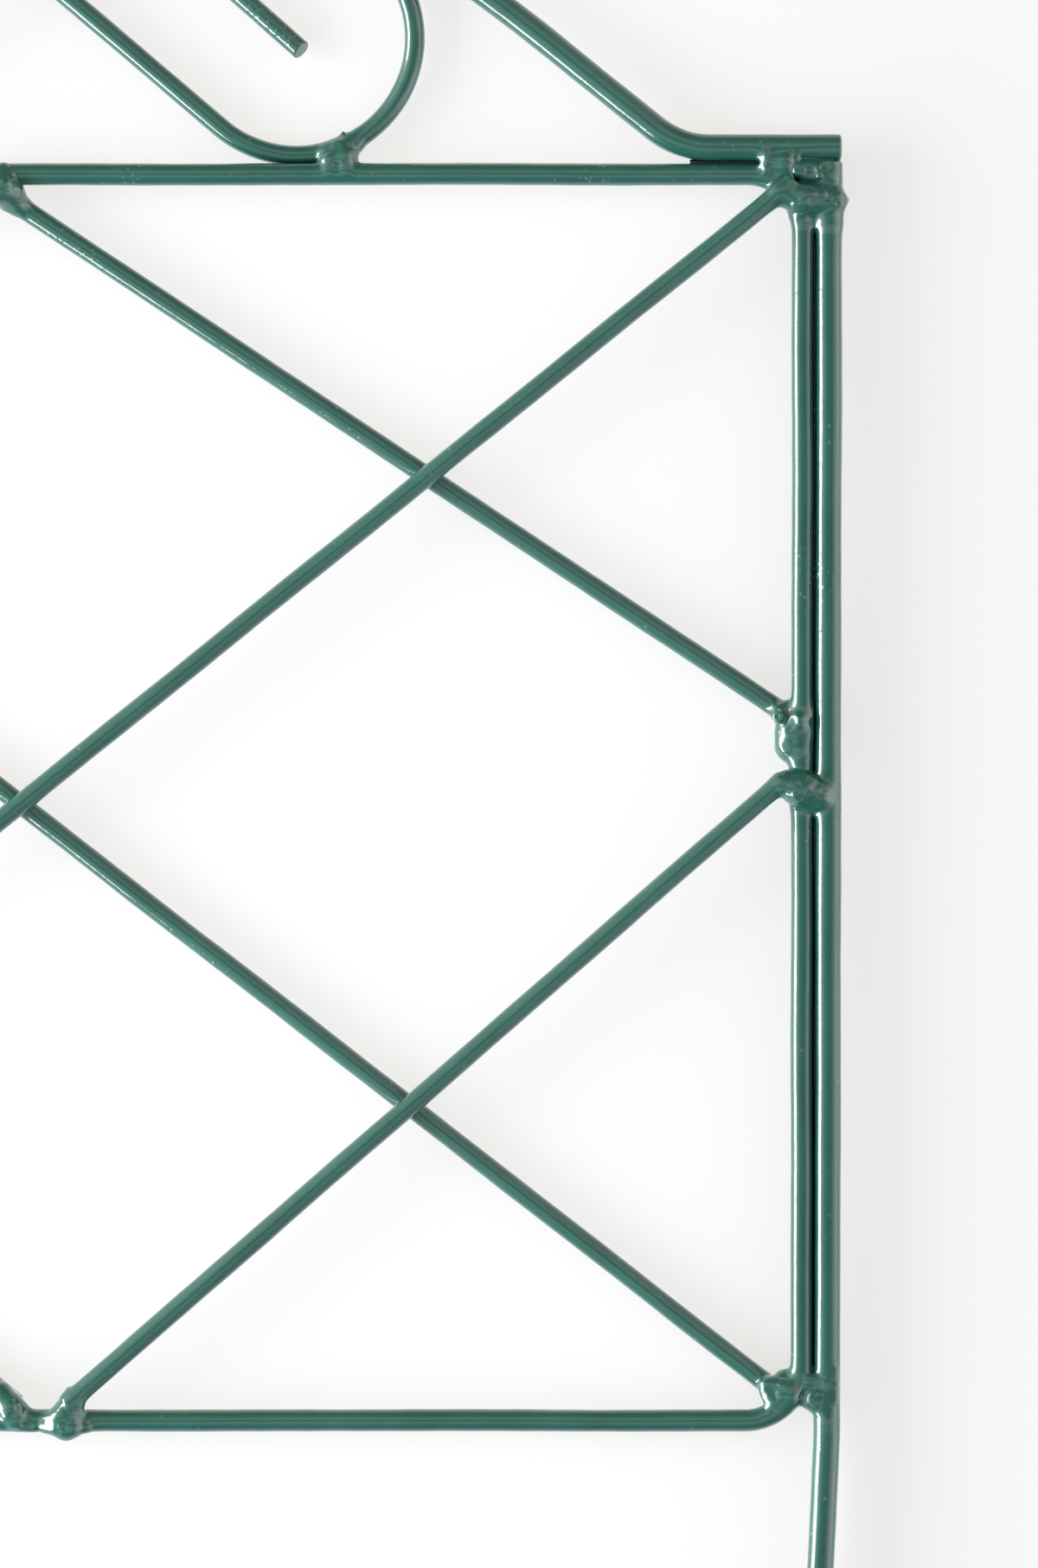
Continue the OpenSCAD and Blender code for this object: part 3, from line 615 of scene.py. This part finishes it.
# Welds of the right half, which the left half mirrors, and of the middle. What the numbers are is said
# in weld_shape.
side_welds = {
    "upper_side_weld": dict(
        blobs=[
            ((190.0, 171.2, -1.9), (188.4, 167.6, -1.5), 4.6, 4.8),
            ((188.4, 167.6, -1.5), (188.2, 164.6, -1.5), 4.8, 4.6),
            ((188.2, 164.6, -1.5), (189.4, 160.4, -0.7), 4.6, 2.9),
            ((184.3, 171.6, 1.6), (184.4, 171.2, 1.6), 1.5, 1.5),
            ((184.6, 172.6, -0.6), (185.4, 171.0, -0.6), 2.2, 2.2),
            ((189.1, 163.8, 1.6), (189.1, 163.4, 1.6), 1.3, 1.3),
            ((186.6, 173.6, -1.0), (188.0, 172.6, -0.6), 1.9, 1.9),
        ],
        facets=[((189.2, 170.2, 1.9), 2.5, -42, 0, 1.95)],
        marks=[(184.2, 171.4, 1.25, 0.25), (184.2, 171.4, 0.8, -0.3), (187.2, 168.4, 1.2, -0.2)],
        touching=["upper_right_bar", "panel_ring"], blend=1.2, melt=0.8, lumpy=0.08, limit=192.75),
    "lower_side_weld": dict(
        blobs=[
            ((186.0, 154.9, 2.2), (189.6, 153.8, 1.8), 3.5, 4.4),
            ((189.6, 153.8, 1.8), (194.4, 151.9, 1.8), 4.4, 3.6),
            ((188.0, 155.6, 1.0), (191.6, 155.0, 1.0), 3.2, 2.9),
            ((189.2, 149.8, 0.9), (195.4, 148.9, 0.7), 2.0, 1.8),
            ((197.0, 154.2, 1.9), (198.6, 153.6, 1.3), 0.9, 0.3),
            ((196.4, 149.4, 2.0), (198.4, 149.7, 1.5), 1.0, 0.3),
        ],
        marks=[(188.9, 154.9, 1.5, -0.3), (190.9, 153.2, 1.2, -0.22), (188.1, 152.2, 0.8, 0.2)],
        touching=["lower_right_bar", "panel_ring", "right_post"], blend=0.8, lumpy=0.12),
    "top_corner_weld": dict(
        blobs=[
            ((185.0, 298.5, 2.3), (190.6, 297.3, 1.8), 3.1, 3.9),
            ((190.6, 297.3, 1.8), (197.5, 297.1, 0.9), 3.9, 3.8),
            ((199.4, 297.2, 0.8), (201.0, 297.2, 0.6), 1.7, 0.4),
            ((189.9, 293.6, 0.8), (190.4, 291.8, 0.6), 2.8, 2.4),
            ((193.4, 293.4, 0.8), (193.4, 291.8, 0.6), 2.1, 1.7),
            ((196.5, 293.6, 0.6), (196.8, 291.6, 0.4), 3.3, 3.2),
            ((190.6, 301.2, 0.2), (194.6, 300.8, 0.2), 2.2, 2.2),
        ],
        marks=[
            (198.7, 296.5, 1.4, 0.3), (198.6, 295.9, 0.8, -0.3), (192.2, 296.4, 1.5, -0.24),
            (188.5, 297.4, 1.3, -0.2), (188.0, 296.0, 0.7, 0.22), (195.2, 298.2, 1.0, 0.2),
        ],
        touching=["long_front_bar", "panel_ring", "right_post"], melt=1.3),
    "crest_foot_weld": dict(
        blobs=[
            ((183.4, 306.2, 0.8), (185.8, 306.0, 1.2), 3.1, 3.2),
            ((182.4, 303.9, 0.8), (186.8, 303.4, 0.8), 2.2, 2.3),
        ],
        facets=[
            ((181.0, 307.9, 2.2), 1.6, -36, -6, 1.2), ((181.6, 306.2, 2.1), 1.6, -36, -6, 1.2),
            ((181.0, 304.6, 2.1), 1.6, -36, -6, 1.2),
        ],
        marks=[
            (183.4, 305.7, 1.4, -0.15), (185.7, 305.6, 1.3, -0.15), (182.4, 303.2, 0.5, 0.2),
            (184.6, 303.0, 0.5, 0.2),
        ],
        touching=["crest_arch", "panel_ring"], blend=0.9, lumpy=0.03),
    "post_head_weld": dict(
        blobs=[
            ((188.5, 308.4, 2.0), (188.6, 303.8, 2.3), 1.1, 1.3),
            ((188.6, 308.6, 2.0), (190.4, 308.3, 1.8), 1.0, 0.8),
            ((190.9, 304.2, 0.9), (194.0, 303.8, 0.9), 3.0, 3.0),
            ((196.6, 304.3, 0.7), (196.6, 301.8, 0.4), 2.7, 3.2),
        ],
        marks=[(191.9, 303.9, 1.7, -0.55), (194.3, 302.7, 0.8, 0.35), (195.6, 305.2, 1.2, -0.25)],
        touching=["crest_arch", "panel_ring", "right_post"], blend=0.3, lumpy=0.1),
    "base_bar_weld": dict(
        blobs=[
            ((182.2, 8.8, 0.4), (183.2, 4.8, 0.7), 2.0, 2.0),
            ((184.4, 8.2, 0.4), (187.0, 7.2, 0.9), 2.6, 2.8),
            ((184.8, 5.6, 0.8), (187.0, 5.4, 1.0), 2.4, 2.6),
            ((187.0, 7.2, 0.9), (188.8, 9.0, 0.6), 2.6, 2.4),
            ((185.6, 10.2, -1.2), (187.6, 11.0, -0.6), 2.2, 1.8),
        ],
        facets=[
            ((180.9, 8.4, 0.8), 1.5, -35, 0, 1.2), ((181.6, 6.4, 1.0), 1.5, -35, 0, 1.2),
            ((182.7, 4.4, 1.2), 1.5, -35, 0, 1.2),
        ],
        marks=[(184.7, 6.4, 1.2, 0.2), (187.0, 7.4, 1.3, -0.15), (185.0, 9.6, 1.1, 0.12)],
        touching=["long_rear_bar", "panel_ring"], blend=0.9, melt=1.6, lumpy=0.03),
    "base_post_weld": dict(
        blobs=[
            ((191.6, 9.8, 1.4), (195.6, 9.6, 1.5), 2.0, 1.9),
            ((190.6, 7.4, 0.8), (192.6, 6.4, 1.2), 2.0, 2.2),
            ((193.2, 5.7, 1.2), (193.6, 5.3, 1.2), 2.3, 2.3),
            ((193.8, 4.0, 1.2), (196.2, 0.7, 1.7), 2.0, 1.4),
            ((188.4, 6.2, 0.4), (191.6, 5.0, 0.6), 2.2, 2.2),
            ((192.4, 4.6, 0.8), (193.4, 3.4, 0.9), 2.0, 1.8),
            ((198.1, 13.0, 2.2), (198.2, 9.0, 2.2), 0.5, 0.55),
            ((198.2, 9.0, 2.2), (197.9, 4.6, 2.3), 0.55, 0.7),
        ],
        marks=[(193.5, 5.5, 1.8, 0.12), (193.9, 6.1, 1.0, -0.18), (193.6, 9.6, 1.4, -0.15)],
        touching=["panel_ring", "right_post"], blend=0.8, lumpy=0.05),
    "scroll_foot_weld": dict(
        blobs=[
            ((77.2, 307.0, -0.2), (77.8, 309.4, -1.2), 3.0, 3.1),
            ((75.0, 306.6, 0.8), (75.0, 304.3, 1.2), 2.1, 1.9),
            ((79.0, 307.6, 0.6), (79.0, 304.6, 1.2), 2.3, 2.0),
            ((75.2, 308.9, -1.5), (80.8, 310.8, -2.2), 2.6, 2.6),
            ((80.0, 308.4, -1.0), (80.3, 307.0, -0.8), 2.0, 1.9),
            ((73.8, 308.2, -0.8), (74.2, 306.4, 0.0), 1.6, 1.6),
            ((78.2, 313.0, -1.6), (78.3, 313.9, -1.4), 0.4, 0.2),
        ],
        marks=[(77.0, 310.4, 1.6, -0.12), (77.0, 305.8, 1.0, -0.15)],
        touching=["right_scroll", "panel_ring"], blend=1.0, melt=1.3, lumpy=0.04),
    "scroll_arch_weld": dict(
        blobs=[((81.8, 363.9, 1.8), (85.2, 362.5, 1.6), 3.6, 3.4)],
        touching=["right_scroll", "crest_arch"]),
    "tail_weld": dict(
        blobs=[((-36.9, 387.2, 0.8), (-32.9, 386.8, 1.0), 3.4, 3.2)],
        touching=["right_scroll", "crest_arch"]),
}
middle_welds = {
    "top_centre_weld": dict(
        blobs=[
            ((-9.8, 300.4, 1.2), (-4.8, 299.9, 1.3), 4.1, 4.0),
            ((-4.8, 299.9, 1.3), (-2.4, 298.8, 0.4), 4.0, 3.1),
            ((-4.4, 303.8, 0.4), (-2.4, 303.2, 0.4), 2.7, 2.4),
            ((-3.2, 296.8, -0.8), (-1.2, 295.9, -1.2), 2.5, 2.3),
            ((-2.6, 298.8, 0.3), (-0.8, 296.8, -1.6), 3.0, 2.5),
        ],
        marks=[(-2.6, 300.2, 1.2, 0.18), (-5.6, 301.0, 1.6, -0.25), (-8.6, 299.6, 1.4, -0.25)],
        touching=["panel_ring", "upper_left_bar", "upper_right_bar"], blend=1.0, melt=1.6, lumpy=0.05),
    "bottom_left_weld": dict(
        blobs=[
            ((-5.2, 6.2, -0.6), (-2.5, 2.8, 0.8), 3.3, 3.6), ((-2.5, 2.8, 0.8), (-1.2, 0.6, 1.2), 3.6, 2.9),
            ((0.2, 2.2, 0.2), (1.4, 1.2, 0.4), 2.2, 1.8), ((0.4, -0.8, 1.2), (3.0, -1.2, 1.1), 1.7, 1.5),
        ],
        marks=[
            (-1.2, 5.0, 0.9, -0.25), (-0.8, 3.4, 0.8, -0.2), (-2.1, 1.6, 1.3, -0.3), (1.4, -1.0, 1.5, -0.3),
        ],
        touching=["panel_ring", "lower_left_bar"], blend=0.9, lumpy=0.05),
    "bottom_right_weld": dict(
        blobs=[
            ((11.0, -1.2, 1.4), (11.6, -0.9, 1.5), 3.7, 3.7),
            ((6.4, -0.5, 0.6), (8.6, -0.6, 0.9), 2.4, 2.7),
            ((14.2, -0.9, 1.0), (15.3, -1.0, 1.0), 2.3, 1.9), ((9.7, 1.2, 2.6), (12.6, 5.0, 2.2), 2.5, 2.5),
            ((8.4, 1.5, 1.6), (11.3, 5.4, 0.8), 1.7, 1.55), ((12.6, 1.0, 1.8), (13.6, 4.0, 2.2), 2.0, 1.6),
            ((14.2, 4.8, 2.4), (14.6, 0.6, 1.8), 0.8, 1.0), ((11.6, 7.4, 2.2), (11.5, 8.0, 2.2), 0.45, 0.2),
        ],
        facets=[
            ((8.1, -0.5, 1.9), 2.6, -36, 0, 2.09), ((6.5, -0.6, 1.2), 2.05, -36, 0, 1.71),
            ((15.7, -1.1, 1.7), 1.5, -33, -4, 1.0),
        ],
        marks=[(11.6, -1.1, 2.5, -0.45), (12.0, -0.9, 1.7, 0.35), (9.9, -0.7, 0.8, 0.2)],
        touching=["panel_ring", "lower_right_bar"], blend=0.9, melt=1.3, lumpy=0.03),
}
OPPOSITE = {"long_front_bar": "long_rear_bar", "long_rear_bar": "long_front_bar"}
# Welds that lie behind on the left half, where the scroll lies in front.
BEHIND = ("scroll_arch_weld", "tail_weld")


def other_side(name):
    """The rod that has the same place on the left half."""
    return OPPOSITE.get(name, name.replace("right", "left"))


def flipped(shape, depth):
    """A weld of the right half, moved to the left half. depth is -1 where it goes to the back there."""
    turn = np.array([-1, 1, depth])
    made = dict(shape)
    made["blobs"] = [(a * turn, b * turn, ra, rb) for a, b, ra, rb in shape["blobs"]]
    made["touching"] = [other_side(name) for name in shape["touching"]]
    made["facets"] = [(centre * turn, radius, -sideways, upward, distance)
                      for centre, radius, sideways, upward, distance in shape.get("facets", [])]
    made["marks"] = [(-x, y, radius, height) for x, y, radius, height in shape.get("marks", [])]
    if "limit" in shape:
        made["limit"] = -shape["limit"]
    return made


seed = WELD_SEED
for name, shape in side_welds.items():
    for word, made in (("right", shape), ("left", flipped(shape, -1 if name in BEHIND else 1))):
        seed += 1
        verts, faces = weld_shape(seed=seed, **made)
        piece(f"filler_{word}_{name}", verts, faces, weld_coat, "coated_weld", f"{word}_{name}")
for name, shape in middle_welds.items():
    seed += 1
    verts, faces = weld_shape(seed=seed, **shape)
    piece("filler_" + name, verts, faces, weld_coat, "coated_weld", name)


def crossing(front, rear):
    """Where two straight rods cross, seen from the front, halfway between them."""
    (p, _), (q, _) = rods[front], rods[rear]
    a, b, c, d = p[0], p[-1], q[0], q[-1]
    m = np.array([[b[0] - a[0], c[0] - d[0]], [b[1] - a[1], c[1] - d[1]]])
    t = np.linalg.solve(m, (c - a)[:2])[0]
    return np.array([*(a + t * (b - a))[:2], 0.0])


def tack(at, touching, seed):
    """A small weld between two rods that cross."""
    blob = (at, at + [0, 0, TACK_H], TACK_R, TACK_R)
    return weld_shape([blob], touching, seed, blend=0.9, lumpy=0.05, groove=0.8)


tacks = [
    ("long_front_bar", "long_rear_bar"), ("long_front_bar", "upper_right_bar"),
    ("long_front_bar", "lower_left_bar"), ("lower_right_bar", "long_rear_bar"),
    ("upper_left_bar", "long_rear_bar"),
]
verts, faces = [], []
for front, rear in tacks:
    seed += 1
    tack_verts, tack_faces = tack(crossing(front, rear), [front, rear], seed)
    start = sum(len(v) for v in verts)
    verts.append(tack_verts)
    faces += [[start + i for i in quad] for quad in tack_faces]
piece("filler_lattice_tacks", np.concatenate(verts), faces, weld_coat, "coated_weld", "lattice_tacks")

tail = scroll_path(1)[:int(TAIL_RUN / PITCH)]
across_y = float(np.interp(0, tail[:, 0], tail[:, 1]))
verts, faces = tack(np.array([0, across_y, 0.0]), ["left_scroll", "right_scroll"], seed + 1)
piece("filler_tail_crossing", verts, faces, weld_coat, "coated_weld", "tail_crossing_weld")

# Stage, lamp and camera, in metres and degrees. MIDDLE is the point that the camera looks at, from
# DISTANCE, and FIELD is the height that it sees there.

MIDDLE = Vector((0.1212, 0.0, 0.195))
DISTANCE, FIELD, SENSOR = 1.7, 0.3819, 36
SURFACE_Y, SURFACE_HALF = 0.0064, 2
SURFACE_LIT, SURFACE_GLOW = (0.25, 0.26, 0.27, 1), (0.715, 0.70, 0.68, 1)
SURFACE_GRAIN = {"Scale": 900.0, "Detail": 2.0}
SURFACE_BUMP = {"Strength": 0.12, "Distance": 0.0003}
# Painted shade: the surface's glow fades towards the right, away from the lamp on the left.
SHADE_FADE_X, SHADE_FADE = (0.12, 0.23), (1.0, 0.92)

scene = bpy.context.scene
camera = bpy.data.objects.new("camera", bpy.data.cameras.new("camera"))
scene.collection.objects.link(camera)
camera.data.sensor_width = SENSOR
camera.data.lens = SENSOR * DISTANCE / FIELD
camera.location = MIDDLE + Vector((0, -DISTANCE, 0))
camera.rotation_euler = (math.radians(90), 0, 0)
scene.camera = camera


def surface_material():
    """White surface under the frame. It shows from the front only. Its glow fades a little towards the right,
    as painted shade.
    """
    material = bpy.data.materials.new("white_surface")
    tree = nodes_of(material)
    place = add(tree, "ShaderNodeTexCoord").outputs["Object"]
    grain = add(tree, "ShaderNodeTexNoise", {"Vector": place, **SURFACE_GRAIN}).outputs["Fac"]
    bump = add(tree, "ShaderNodeBump", {"Height": grain, **SURFACE_BUMP})
    lit = add(tree, "ShaderNodeBsdfDiffuse", {"Color": SURFACE_LIT, "Normal": bump.outputs[0]})
    across = add(tree, "ShaderNodeSeparateXYZ", {0: place}).outputs["X"]
    level = ranged(tree, across, *SHADE_FADE_X, *SHADE_FADE, "SMOOTHSTEP")
    glow = add(tree, "ShaderNodeEmission", {"Color": SURFACE_GLOW, "Strength": level})
    both = add(tree, "ShaderNodeAddShader", {0: lit.outputs[0], 1: glow.outputs[0]})
    clear = add(tree, "ShaderNodeBsdfTransparent")
    facing = add(tree, "ShaderNodeNewGeometry").outputs["Backfacing"]
    shader = add(tree, "ShaderNodeMixShader", {0: facing, 1: both.outputs[0], 2: clear.outputs[0]})
    add(tree, "ShaderNodeOutputMaterial", {"Surface": shader.outputs[0]})
    return material


mesh = bpy.data.meshes.new("surface")
corners = [(-1, -1), (1, -1), (1, 1), (-1, 1)]
mesh.from_pydata([(x * SURFACE_HALF, SURFACE_Y, z * SURFACE_HALF) for x, z in corners], [], [(0, 1, 2, 3)])
mesh.materials.append(surface_material())
surface = bpy.data.objects.new("surface", mesh)
scene.collection.objects.link(surface)
surface.visible_diffuse = surface.visible_glossy = False
surface.visible_transmission = surface.visible_shadow = False


def lamp(name, azimuth, rise, distance, width, height, radiance, colour):
    """A soft box beside the camera. azimuth is measured from the camera's side, to the right."""
    data = bpy.data.lights.new(name, "AREA")
    data.shape, data.size, data.size_y = "RECTANGLE", width, height
    data.energy = math.pi * radiance * width * height
    data.color = colour
    obj = bpy.data.objects.new(name, data)
    scene.collection.objects.link(obj)
    a, e = math.radians(azimuth), math.radians(rise)
    away = Vector((math.sin(a) * math.cos(e), -math.cos(a) * math.cos(e), math.sin(e)))
    obj.location = MIDDLE + away * distance
    obj.rotation_mode = "QUATERNION"
    obj.rotation_quaternion = away.to_track_quat("Z", "Y")


lamp("key", azimuth=-70, rise=-10.5, distance=1.25, width=0.5, height=1.7, radiance=10,
     colour=(0.98, 0.995, 1))

# Surroundings: a dim room behind the camera, bright to both sides, and a white surface behind the frame.
# The camera itself sees a plain white.
ROOM_LIGHT, SURFACE_LIGHT = 0.2, 1.0
SIDE_LIGHT, SIDE_FROM, SIDE_POWER = 1.8, 0.3, 1.8
OVER_LIGHT, OVER_RISE, OVER_FALL = 0.5, (0.08, 0.24), (0.4, 0.8)
PANEL_LIGHT, PANEL_EDGE, PANEL_ENDS = 6.0, (-0.96, -0.90), (0.25, 0.55)
SURFACE_BAND, TINT_BAND = (-0.1, 0.25), (-0.7, 0.7)
TINT_BELOW, TINT_ABOVE = (0.93, 1.02, 1.07, 1), (1.03, 1.0, 0.93, 1)
SEEN_LIGHT, SEEN_COLOUR = 0.95, (1.0, 0.99, 0.98, 1)

world = bpy.data.worlds.new("world")
scene.world = world
tree = nodes_of(world)


def ramp(value, band, to_low=0.0, to_high=1.0):
    return ranged(tree, value, *band, to_low, to_high, "SMOOTHSTEP")


generated = add(tree, "ShaderNodeTexCoord").outputs["Generated"]
direction = add(tree, "ShaderNodeSeparateXYZ", {0: generated}).outputs
wide, tall = calc(tree, "ABSOLUTE", direction["X"]), calc(tree, "ABSOLUTE", direction["Z"])
beside = calc(tree, "DIVIDE", calc(tree, "SUBTRACT", wide, SIDE_FROM), 1 - SIDE_FROM)
beside = calc(tree, "POWER", calc(tree, "MAXIMUM", beside, 0.0), SIDE_POWER)
beside = calc(tree, "MULTIPLY", beside, SIDE_LIGHT)
over = calc(tree, "MULTIPLY", ramp(tall, OVER_RISE), ramp(tall, OVER_FALL, 1.0, 0.0))
over = calc(tree, "MULTIPLY", over, OVER_LIGHT)
panel = calc(tree, "MULTIPLY", ramp(direction["X"], PANEL_EDGE, 1.0, 0.0), ramp(tall, PANEL_ENDS, 1.0, 0.0))
panel = calc(tree, "MULTIPLY", panel, PANEL_LIGHT)
room = calc(tree, "ADD", calc(tree, "ADD", beside, over), calc(tree, "ADD", panel, ROOM_LIGHT))
level = mix_values(tree, ramp(direction["Y"], SURFACE_BAND), room, SURFACE_LIGHT)
tint = mix_colours(tree, ramp(direction["Z"], TINT_BAND), TINT_BELOW, TINT_ABOVE)
seen = add(tree, "ShaderNodeLightPath").outputs["Is Camera Ray"]
strength = mix_values(tree, seen, level, SEEN_LIGHT)
colour = mix_colours(tree, seen, tint, SEEN_COLOUR)
background = add(tree, "ShaderNodeBackground", {"Color": colour, "Strength": strength})
add(tree, "ShaderNodeOutputWorld", {"Surface": background.outputs[0]})

scene.view_settings.view_transform = "Standard"
